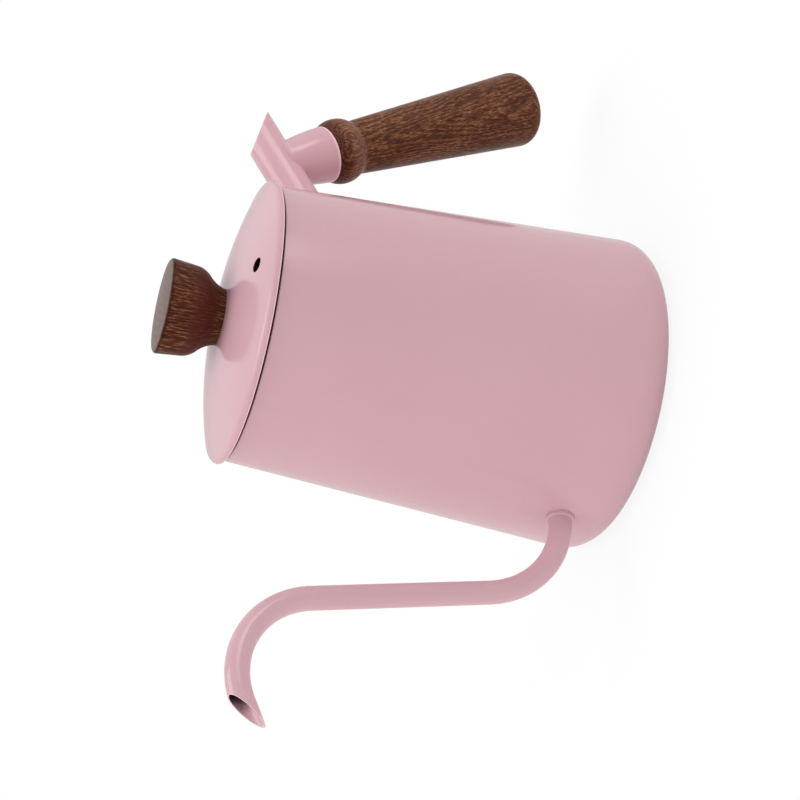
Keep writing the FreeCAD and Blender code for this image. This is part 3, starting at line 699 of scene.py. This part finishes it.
def wooden_knob(wood, end_wood):
    """Turned knob: hollow waist, round shoulder, straight side, small edge and a slightly crowned top."""
    foot, waist, shoulder = (9.2, KNOB_SEAT), (12.4, 142.5), (14.7, 146.9)
    shoulder_bulge, waist_hollow, foot_edge = 0.42, -0.5, 0.5
    crown_flat, crown_bulge = 2.0, 0.2
    edge = (KNOB_RADIUS - KNOB_EDGE, KNOB_TOP - KNOB_EDGE)
    outline = joined(
        [(0, KNOB_TOP + KNOB_CROWN)],
        bow((crown_flat, KNOB_TOP + KNOB_CROWN), (edge[0], KNOB_TOP), crown_bulge, 14),
        arc(edge, KNOB_EDGE, 86, 0, 14),
        run((KNOB_RADIUS, edge[1]), shoulder),
        bow(shoulder, waist, shoulder_bulge),
        bow(waist, foot, waist_hollow),
        eased([
            (*foot, 0), (KNOB_BORE, KNOB_SEAT, foot_edge), (KNOB_BORE, KNOB_BORE_TOP, 0),
            (0, KNOB_BORE_TOP, 0),
        ]),
    )
    on_end = outline[:, 1] > KNOB_TOP - KNOB_EDGE / 4
    knob = sheet(lathe(outline, 144), on_end)
    make_piece("wooden_knob", [knob], "lid", ["lid_knob"], [wood, end_wood])


def washer_ring(steel):
    """Plain washer under the lid, its edges slightly rounded."""
    outer_edge = 0.25
    high = KNOB_SEAT - LID_SHEET
    low = high - WASHER_SHEET
    inside = (SCREW_HOLE, (low + high) / 2, 0)
    outline = eased([
        inside, (SCREW_HOLE, low, SMALL_EDGE), (WASHER_RADIUS, low, outer_edge),
        (WASHER_RADIUS, high, SMALL_EDGE), (SCREW_HOLE, high, SMALL_EDGE), inside,
    ])[:-1]
    ring = sheet(lathe(outline, 96), wrap_rows=True)
    make_piece("washer_ring", [ring], "lid", ["knob_washer"], [steel])


def knob_bolt(steel):
    """Pan-head screw: a turned head and shank, with a cross sunk where its arms are near."""
    low, high, head, head_round, head_edge = 131.9, 135.1, 4.75, 1.6, 0.1
    shank, tip, tip_round = 2.5, KNOB_BORE_TOP - 1.0, 0.6
    slot_half, slot_side, slot_reach, slot_end, slot_depth = 0.75, 0.3, 2.4, 0.5, 1.4
    face = np.linspace(0, head - head_round, 26)
    outline = joined(
        np.c_[face, low + 0 * face],
        arc((head - head_round, low + head_round), head_round, -90, 0, 12),
        eased([
            (head, low + head_round, 0), (head, high, head_edge), (shank, high, 0), (shank, tip, tip_round),
            (0, tip, 0),
        ]),
    )
    bolt = lathe(outline, 160)
    x, y = np.abs(bolt[..., 0]), np.abs(bolt[..., 1])
    across = smooth_step((slot_half - np.minimum(x, y)) / slot_side)
    outward = smooth_step((slot_reach - np.maximum(x, y)) / slot_end)
    on_face = (np.arange(len(outline)) < len(face))[:, None]
    bolt[..., 2] += slot_depth * across * outward * on_face
    make_piece("knob_bolt", [sheet(bolt)], "lid", ["knob_screw"], [steel], VERY_SHARP)


# Node trees

def feed(tree, node, inputs):
    """Gives inputs of a node values or other nodes' sockets."""
    for key, value in dict(inputs).items():
        if isinstance(value, bpy.types.NodeSocket):
            tree.links.new(value, node.inputs[key])
        else:
            node.inputs[key].default_value = value


def add(tree, kind, inputs=(), **settings):
    """Adds a shader node with its settings and inputs."""
    node = tree.nodes.new("ShaderNode" + kind)
    for key, value in settings.items():
        setattr(node, key, value)
    feed(tree, node, inputs)
    return node


def math(tree, operation, first, second=0.0):
    """One sum on two numbers."""
    return add(tree, "Math", {0: first, 1: second}, operation=operation).outputs[0]


def vector_math(tree, operation, first, second=(0, 0, 0), result="Vector"):
    """One sum on two vectors; its result is a Vector or a Value."""
    return add(tree, "VectorMath", {0: first, 1: second}, operation=operation).outputs[result]


def noise(tree, vector, scale, detail=2.0, roughness=0.5):
    """Soft random values from 0 to 1 over space."""
    return add(tree, "TexNoise", {
        "Vector": vector, "Scale": scale, "Detail": detail, "Roughness": roughness,
    }).outputs[0]


def stretched(tree, vector, scale):
    """The same space with each axis scaled."""
    return add(tree, "Mapping", {"Vector": vector, "Scale": scale}).outputs[0]


def span(tree, value, low, high, to_low=0.0, to_high=1.0):
    """A value moved from one span to another and held there, with soft ends."""
    return add(tree, "MapRange", {
        "Value": value, "From Min": low, "From Max": high, "To Min": to_low, "To Max": to_high,
    }, interpolation_type="SMOOTHSTEP").outputs[0]


def weighed(tree, *parts):
    """The sum of values times their weights."""
    total = 0.0
    for value, weight in parts:
        total = add(tree, "Math", {0: value, 1: weight, 2: total}, operation="MULTIPLY_ADD").outputs[0]
    return total


def blend(tree, factor, first, second, way="MIX"):
    """A colour between two, or the first with a share of the second multiplied in or added."""
    mixed = add(tree, "Mix", {0: factor, 6: first, 7: second}, data_type="RGBA", blend_type=way)
    return mixed.outputs[2]


COLOUR, VALUE = "NodeSocketColor", "NodeSocketFloat"
PLAIN_INPUTS = {"Light": COLOUR, "Dark": COLOUR}
WOOD_INPUTS = {
    "Layers": VALUE, "Waver": VALUE, "Layer Depth": VALUE, "Flecks": VALUE,
    "Dark": COLOUR, "Middle": COLOUR, "Light": COLOUR,
}


def new_group(name, inputs):
    """An empty node group for a finish: its tree, its inputs and a function that sets an output."""
    tree = bpy.data.node_groups.new(name, "ShaderNodeTree")
    for label, kind in {"Vector": "NodeSocketVector", **inputs}.items():
        tree.interface.new_socket(label, in_out="INPUT", socket_type=kind)
    for label, kind in {"Colour": COLOUR, "Roughness": VALUE, "Height": VALUE}.items():
        tree.interface.new_socket(label, in_out="OUTPUT", socket_type=kind)
    given = tree.nodes.new("NodeGroupInput").outputs
    result = tree.nodes.new("NodeGroupOutput").inputs
    return tree, given, lambda label, socket: tree.links.new(socket, result[label])


def paint_skin_group():
    """Sprayed paint: a faint cloudiness in tone and gloss, and a fine orange-peel height."""
    tree, given, put = new_group("paint_skin", PLAIN_INPUTS)
    place = given["Vector"]
    cloud = noise(tree, place, scale=26.0, detail=4.0, roughness=0.55)
    peel = noise(tree, place, scale=620.0)
    grit = noise(tree, place, scale=1900.0, detail=1.0)
    tone = weighed(tree, (cloud, 0.7), (grit, 0.3))
    put("Colour", blend(tree, span(tree, tone, 0.3, 0.7), given["Dark"], given["Light"]))
    put("Roughness", span(tree, cloud, 0.3, 0.7, 0.13, 0.17))
    put("Height", weighed(tree, (peel, 1.0), (grit, 0.15)))
    return tree


def wood_grain_group():
    """Dark hardwood with its grain along Z: thin growth layers across X, short flecks, patches and pores.

    A layer's tone goes as the sine of x plus a slow and a quick noise; all noises are drawn out along Z.
    """
    tree, given, put = new_group("wood_grain", WOOD_INPUTS)
    place = given["Vector"]

    def marks(squeeze, scale, detail=1.0):
        """A noise drawn out along the grain, by squeezing its space."""
        return noise(tree, stretched(tree, place, (1.0, 1.0, squeeze)), scale, detail)

    across = add(tree, "SeparateXYZ", {0: place}).outputs[0]
    slow, quick = marks(0.25, 110.0), marks(0.18, 1600.0)
    fleck, patch = marks(0.13, given["Flecks"]), marks(0.4, 140.0, 2.0)
    stray = weighed(tree, (slow, 5.0), (quick, 1.0))
    layer = weighed(tree, (stray, given["Waver"]), (across, 1.0))
    wave = math(tree, "SINE", math(tree, "MULTIPLY", layer, given["Layers"]))
    # The last part brings the middle of both noises to nought
    band = weighed(tree, (wave, given["Layer Depth"]), (fleck, 1.5), (patch, 0.5), (-1.0, 1.0))
    base = blend(tree, span(tree, band, -0.40, 0.06), given["Dark"], given["Middle"])
    base = blend(tree, span(tree, band, 0.05, 0.50), base, given["Light"])
    pore = span(tree, marks(0.1, 1700.0), 0.62, 0.72)
    put("Colour", blend(tree, math(tree, "MULTIPLY", pore, 0.6), base, given["Dark"]))
    put("Roughness", span(tree, band, -0.3, 0.4, 0.58, 0.42))
    put("Height", weighed(tree, (fleck, 0.5), (pore, -1.0)))
    return tree


def turned_metal_group():
    """Bare metal with fine marks round the axis: noises much denser along Z than across it."""
    tree, given, put = new_group("turned_metal", PLAIN_INPUTS)
    squeezed = stretched(tree, given["Vector"], (0.02, 0.02, 1.0))
    marks = noise(tree, squeezed, scale=2600.0, detail=3.0, roughness=0.6)
    cloud = noise(tree, given["Vector"], scale=60.0, detail=3.0)
    tone = weighed(tree, (marks, 0.6), (cloud, 0.4))
    put("Colour", blend(tree, span(tree, tone, 0.3, 0.7), given["Dark"], given["Light"]))
    put("Roughness", span(tree, tone, 0.3, 0.7, 0.38, 0.26))
    put("Height", marks)
    return tree


# Finishes: each paint and metal has two tones, and each wood three from dark to light

PINK = (0.586, 0.355, 0.396, 1), (0.572, 0.343, 0.383, 1)
# Painted light: a lighter, warmer copy of the body's pink that stands in for light bounced off the body onto
# the handle
BOUNCE_LIT_PINK = (0.624, 0.367, 0.410, 1), (0.609, 0.355, 0.396, 1)
# Painted highlight: a pale pink along the lid roll's edge and the ferrule's mouth
HIGHLIGHT_PINK = (0.82, 0.56, 0.57, 1), (0.78, 0.51, 0.52, 1)
# Painted highlight: a paler pink along the spout's mouth rim
RIM_HIGHLIGHT_PINK = (0.68, 0.45, 0.49, 1), (0.64, 0.41, 0.45, 1)
# Painted shade: a near-black tone for the seam under the lid's roll, the ring's flange and the vent's bore
SEAM_SHADE = (0.045, 0.012, 0.018, 1), (0.030, 0.008, 0.012, 1)
STEEL = (0.60, 0.60, 0.61, 1), (0.44, 0.44, 0.45, 1)
# Painted light: a lightened copy of the steel that lifts the shaded inside of the body, base and lid
LIGHTENED_STEEL = (0.84, 0.83, 0.82, 1), (0.70, 0.69, 0.68, 1)
# Painted shade: near-black tones for the spout's bore behind its painted mouth
BORE_SHADE_TONES = (0.05, 0.03, 0.035, 1), (0.02, 0.012, 0.014, 1)
BRASS = (0.70, 0.50, 0.22, 1), (0.55, 0.37, 0.15, 1)
GRIP_TONES = (0.055, 0.0125, 0.005, 1), (0.119, 0.0395, 0.017, 1), (0.297, 0.130, 0.064, 1)
KNOB_TONES = (0.034, 0.007, 0.003, 1), (0.090, 0.026, 0.012, 1), (0.280, 0.124, 0.060, 1)
END_TONES = (0.048, 0.014, 0.008, 1), (0.086, 0.031, 0.019, 1), (0.135, 0.056, 0.034, 1)
# Painted shade: the knob's downward-facing waist is darkened and its grain muted
WAIST_SHADE = (0.078, 0.0185, 0.0130, 1)
# A darker band along the knob's top edge
KNOB_TOP_EDGE_DARK = (0.020, 0.006, 0.003, 1)
# Painted shade: the bead is darkened next to the ferrule's mouth, where the ferrule shades it
FERRULE_SHADE_ON_BEAD = (0.69, 0.61, 0.65, 1)
# Painted sheen: a grey added on the bead's far side, standing in for its grazing reflection
BEAD_SHEEN = (0.058, 0.033, 0.028, 1)
SKIN_HEIGHT = 0.01 * MM
GRAIN_HEIGHT = 0.1 * MM
UPRIGHT = np.eye(3)


def new_finish(name):
    """An empty material with its tree, its Principled shader and Object coordinates."""
    finish = bpy.data.materials.new(name)
    finish.use_nodes = True
    tree = finish.node_tree
    return finish, tree, tree.nodes["Principled BSDF"], add(tree, "TexCoord").outputs["Object"]


def use_group(tree, shader, group, inputs, height, strength):
    """Places a finish's group and joins its colour, roughness and height to the shader."""
    made = add(tree, "Group", inputs, node_tree=group).outputs
    bump = add(tree, "Bump", {"Height": made["Height"], "Distance": height, "Strength": strength})
    feed(tree, shader, {
        "Base Color": made["Colour"], "Roughness": made["Roughness"], "Normal": bump.outputs["Normal"],
    })


def two_toned(name, group, tones, relief, constants):
    """A finish of a group with two tones, with constants of its shader."""
    finish, tree, shader, place = new_finish(name)
    look = {"Vector": place, "Light": tones[0], "Dark": tones[1]}
    use_group(tree, shader, group, look, SKIN_HEIGHT, relief)
    feed(tree, shader, constants)
    return finish


def enamel(name, skin, tones, gloss=0.3):
    """Semi-gloss sprayed enamel, or a dull coat with no gloss."""
    return two_toned(name, skin, tones, 0.2, {"Specular IOR Level": gloss})


def bare_metal(name, metal, tones, metallic=1.0):
    """Plain metal with turning marks."""
    return two_toned(name, metal, tones, 0.3, {"Metallic": metallic})


def stain(finish, axis, edges, colour, depth=1.0, way="MIX", fray=(300.0, 2.0, 2.5)):
    """A ring of another tone round an axis: where paint ends, and painted shade, a painted sheen and a dark
    band on wood.

    Each edge is two places along the axis, in millimetres: where nothing shows of it and where it is full.
    fray is the scale and the detail of a noise that frays the edges, and its reach in millimetres.
    """
    tree = finish.node_tree
    shader = tree.nodes["Principled BSDF"]
    plain = shader.inputs["Base Color"].links[0].from_socket
    place = add(tree, "TexCoord").outputs["Object"]
    scale, detail, reach = fray
    onward = vector_math(tree, "DOT_PRODUCT", place, tuple(axis), "Value")
    stray = noise(tree, place, scale, detail)
    frayed = weighed(tree, (stray, reach * MM), (onward, 1.0), (-0.5, reach * MM))
    share = depth
    for none, full in edges:
        share = math(tree, "MULTIPLY", span(tree, frayed, none * MM, full * MM), share)
    feed(tree, shader, {"Base Color": blend(tree, share, plain, colour, way)})


def spout_bore(metal):
    """Inside of the spout: paint that thins out from the mouth inwards, and behind it a near-black painted
    shade.
    """
    finish = bare_metal("spout_bore", metal, BORE_SHADE_TONES, metallic=0.0)
    tip = MOUTH_TIP @ MOUTH_AXIS
    stain(finish, MOUTH_AXIS, [(tip - 13.3, tip - 6.3)], PINK[0], fray=(500.0, 3.0, 3.0))
    return finish


def onto_cylinder(tree, place, radius):
    """The same place moved straight from the Z axis to a radius, so that marks run along a turned side."""
    out = vector_math(tree, "NORMALIZE", vector_math(tree, "MULTIPLY", place, (1, 1, 0)))
    height = vector_math(tree, "MULTIPLY", place, (0, 0, 1))
    return vector_math(tree, "ADD", vector_math(tree, "MULTIPLY", out, (radius, radius, radius)), height)


def dark_wood(name, grain, axes, facing, figure, tones, lustre, gloss,
              slants=(0.45, 0.95), relief=0.5, radius=0):
    """Oiled hardwood; the mapping turns the frame so that the grain runs along the piece.

    facing turns the growth layers about it, in degrees. figure gives their radians in a metre, how far they
    stray, how deep they show, and the flecks in a metre. The oil's gloss grows between two slants. With a
    radius, marks run along a turned side.
    """
    finish, tree, shader, place = new_finish(name)
    turned = Matrix.Rotation(-np.radians(facing), 3, "Z") @ Matrix(axes)
    lengthwise = add(tree, "Mapping", {"Vector": place, "Rotation": turned.to_euler()}).outputs[0]
    if radius:
        lengthwise = onto_cylinder(tree, lengthwise, radius * MM)
    look = dict(zip(WOOD_INPUTS, (*figure, *tones)))
    use_group(tree, shader, grain, {"Vector": lengthwise, **look}, GRAIN_HEIGHT, relief)
    slant = add(tree, "LayerWeight", {"Blend": 0.5}).outputs["Facing"]
    coat = span(tree, slant, *slants, 0.0, gloss)
    feed(tree, shader, {"Coat Weight": coat, "Coat Roughness": 0.45, "Specular IOR Level": lustre})
    return finish


def make_woods():
    """The woods of the grip, the knob's side and the knob's top, with painted shade and sheen, and a dark
    band on the knob's edge.
    """
    grain = wood_grain_group()
    grip = dark_wood(
        "grip_wood", grain, HANDLE_AXES, 65, (7600, 0.0012, 0.24, 4200), GRIP_TONES, lustre=0.12, gloss=0.5,
    )
    knob = dark_wood(
        "knob_wood", grain, UPRIGHT, 142, (4900, 0.0012, 0.17, 3400), KNOB_TONES, lustre=0.06, gloss=0.35,
        radius=KNOB_RADIUS,
    )
    end = dark_wood(
        "knob_end_wood", grain, UPRIGHT, 142, (2600, 0.0014, 0.10, 2600), END_TONES, lustre=0.06, gloss=0.85,
        slants=(0.1, 0.5), relief=0.05,
    )
    upwards, grip_axis = UPRIGHT[2], HANDLE_AXES[2]
    # Painted shade on the knob's waist
    stain(knob, upwards, [(138.5, 140.8), (150.0, 146.2)], WAIST_SHADE, 0.74)
    # A darker band along the knob's top edge
    stain(knob, upwards, [(154.6, 155.4)], KNOB_TOP_EDGE_DARK, 0.7)
    joint = HANDLE_JOINT @ grip_axis - FERRULE_LENGTH
    # Painted shade on the bead beside the ferrule
    stain(grip, grip_axis, [(joint - 3.6, joint - 1.2)], FERRULE_SHADE_ON_BEAD, way="MULTIPLY")
    # Painted sheen on the bead's far side
    sheen_band = [(joint - 11.2, joint - 10.0), (joint - 2.4, joint - 6.2)]
    stain(grip, grip_axis, sheen_band, BEAD_SHEEN, way="ADD")
    return grip, knob, end


# Set: floor, white surroundings, lamps and camera

WHITE = (1, 1, 1, 1)
FLOOR_GREY = (0.9, 0.9, 0.9, 1)
FLOOR_SIDE = 20.0
FLOOR_MIRRORED = 0.75
HORIZON_MIRRORED = 0.58
EVEN_LIGHT = 0.76
KETTLE_MIDDLE = Vector((0.0, 0.0, 0.08))
LAMP_DISTANCE = 1.2


def white_to_eye(tree, mirrored):
    """Rays that see white: 1 from the camera, from glossy surfaces and through clear ones, else 0.

    The second value is how white: 1, or a lower value in what glossy surfaces mirror.
    """
    path = add(tree, "LightPath").outputs
    direct = math(tree, "MAXIMUM", path["Is Camera Ray"], path["Is Transmission Ray"])
    seen = math(tree, "MAXIMUM", direct, path["Is Glossy Ray"])
    return seen, math(tree, "MAXIMUM", direct, mirrored)


def make_surroundings():
    """White to the eye, and in reflections but for a greyer horizon; a lower even light on all else."""
    world = bpy.data.worlds.new("studio")
    world.use_nodes = True
    tree = world.node_tree
    direction = add(tree, "TexCoord").outputs["Generated"]
    upward = add(tree, "SeparateXYZ", {0: direction}).outputs[2]
    seen, white = white_to_eye(tree, span(tree, upward, -0.05, 0.50, HORIZON_MIRRORED, 1.0))
    strength = add(tree, "MapRange", {"Value": seen, "To Min": EVEN_LIGHT, "To Max": white})
    feed(tree, tree.nodes["Background"], {"Color": WHITE, "Strength": strength.outputs[0]})
    bpy.context.scene.world = world


def make_floor():
    """A pale floor that looks white but for the kettle's soft shadow, and all white further off."""
    mesh = bpy.data.meshes.new("floor")
    corners = [(-1, -1), (1, -1), (1, 1), (-1, 1)]
    mesh.from_pydata([(FLOOR_SIDE * x, FLOOR_SIDE * y, 0) for x, y in corners], [], [(0, 1, 2, 3)])
    floor = new_object("floor", mesh)
    finish, tree, shader, place = new_finish("pale_floor")
    tree.nodes.remove(shader)
    plain = add(tree, "BsdfDiffuse", {"Color": FLOOR_GREY}).outputs[0]
    seen, white = white_to_eye(tree, FLOOR_MIRRORED)
    glow = add(tree, "Emission", {"Color": WHITE, "Strength": white}).outputs[0]
    away = vector_math(tree, "LENGTH", place, result="Value")
    share = math(tree, "MULTIPLY", seen, span(tree, away, 0.12, 0.4, 0.88, 1.0))
    mixed = add(tree, "MixShader", {0: share, 1: plain, 2: glow}).outputs[0]
    feed(tree, tree.nodes["Material Output"], {"Surface": mixed})
    mesh.materials.append(finish)


def soft_lamp(name, azimuth, elevation, size, power, distance=LAMP_DISTANCE, lights=True, reflects=True):
    """A rectangular lamp that faces the kettle's middle; one may only light, or only show in reflections."""
    turn, rise = np.radians([azimuth, elevation])
    out = Vector((np.cos(turn) * np.cos(rise), np.sin(turn) * np.cos(rise), np.sin(rise)))
    light = bpy.data.lights.new(name, "AREA")
    light.shape = "RECTANGLE"
    light.size, light.size_y = size
    light.energy = power
    lamp = new_object(name, light)
    lamp.location = KETTLE_MIDDLE + out * distance
    lamp.rotation_euler = out.to_track_quat("Z", "Y").to_euler()
    lamp.visible_diffuse, lamp.visible_glossy = lights, reflects
    lamp.visible_camera = False
    return lamp


def fade_edges(lamp):
    """Lets a lamp's glow fade to its sides as a sine of the way across, and to its top as a cosine."""
    lamp.data.use_nodes = True
    tree = lamp.data.node_tree
    place = add(tree, "NewGeometry").outputs["Parametric"]
    across, up, _ = add(tree, "SeparateXYZ", {0: place}).outputs
    sideways = math(tree, "SINE", math(tree, "MULTIPLY", across, np.pi))
    upwards = math(tree, "COSINE", math(tree, "MULTIPLY", up, np.pi / 2))
    feed(tree, tree.nodes["Emission"], {"Strength": math(tree, "MULTIPLY", sideways, upwards)})


def all_but(name, piece):
    """A collection that stands for every piece but one, for a lamp's links."""
    others = bpy.data.collections.new(name)
    others.objects.link(piece)
    others.collection_objects[0].light_linking.link_state = "EXCLUDE"
    return others


def make_lamps(spout, dome):
    """Soft boxes, and a card that only glossy pieces see.

    The light from the right passes the spout without a shadow, and the lid's dome doesn't mirror the card.
    """
    soft_lamp("overhead_softbox", -80, 87, (0.7, 0.7), 5.6)
    soft_lamp("left_softbox", 117, 14, (0.5, 0.5), 2.2, reflects=False)
    right = soft_lamp("right_softbox", -14, 6, (0.5, 0.5), 3.9, reflects=False)
    soft_lamp("handle_softbox", 150, 30, (0.4, 0.4), 0.9, reflects=False)
    card = soft_lamp("left_card", 118, 19, (0.44, 0.42), 3.4, distance=0.62, lights=False)
    fade_edges(card)
    right.light_linking.blocker_collection = all_but("what_shades_from_the_right", spout)
    card.light_linking.receiver_collection = all_but("what_mirrors_the_card", dome)


def make_camera():
    """The photograph's viewpoint: a long lens, looking down a little, turned on its side."""
    data = bpy.data.cameras.new("camera")
    data.lens = 87.325
    data.sensor_width = 36.0
    camera = new_object("camera", data)
    right = Vector((-0.011981, 0.313500, -0.949513))
    up = Vector((-0.815988, 0.545778, 0.190496))
    turned = Matrix((right, up, right.cross(up))).transposed()
    camera.matrix_world = Matrix.Translation((0.381833, 0.488725, 0.232353)) @ turned.to_4x4()
    bpy.context.scene.camera = camera


def main():
    """Sets up the studio, makes the finishes and the pieces, and gives three CAD nodes metal."""
    bpy.context.scene.view_settings.view_transform = "Standard"
    make_camera()
    make_surroundings()
    make_floor()

    skin, metal = paint_skin_group(), turned_metal_group()
    paint = enamel("pink_paint", skin, PINK)
    # The handle's pink is lightened as painted bounce light
    bounce_lit_handle_paint = enamel("bounce_lit_handle_paint", skin, BOUNCE_LIT_PINK)
    # Painted highlight for the ferrule's mouth and the lid roll's edge
    edge_highlight = enamel("painted_edge_highlight", skin, HIGHLIGHT_PINK)
    # Painted highlight on the spout's rim
    rim_highlight = enamel("spout_rim_highlight", skin, RIM_HIGHLIGHT_PINK)
    # Painted shade for the seam under the lid and for the vent's bore
    seam_shade = enamel("painted_seam_shade", skin, SEAM_SHADE, gloss=0.0)
    steel = bare_metal("stainless_steel", metal, STEEL)
    # Steel lightened as painted light for the shaded insides
    lightened_inside_steel = bare_metal("inside_steel_painted_light", metal, LIGHTENED_STEEL)
    brass = bare_metal("brass", metal, BRASS)
    grip_wood, knob_wood, end_wood = make_woods()

    body_wall(paint, lightened_inside_steel)
    base_dish(paint, lightened_inside_steel)
    spout = spout_pipe(paint, rim_highlight, spout_bore(metal))
    spout_weld(paint)
    arm_tube(bounce_lit_handle_paint)
    arm_plate(bounce_lit_handle_paint)
    ferrule_bell(bounce_lit_handle_paint, edge_highlight)
    wooden_grip(grip_wood)
    dome = lid_dome(paint, lightened_inside_steel, seam_shade, edge_highlight)
    mouth_ring(steel, seam_shade)
    wooden_knob(knob_wood, end_wood)
    washer_ring(steel)
    knob_bolt(steel)
    make_lamps(spout, dome)
    for node, finish in (("handle_stud", steel), ("grip_insert", brass), ("knob_insert", brass)):
        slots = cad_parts[node].data.materials
        slots.clear()
        slots.append(finish)


main()
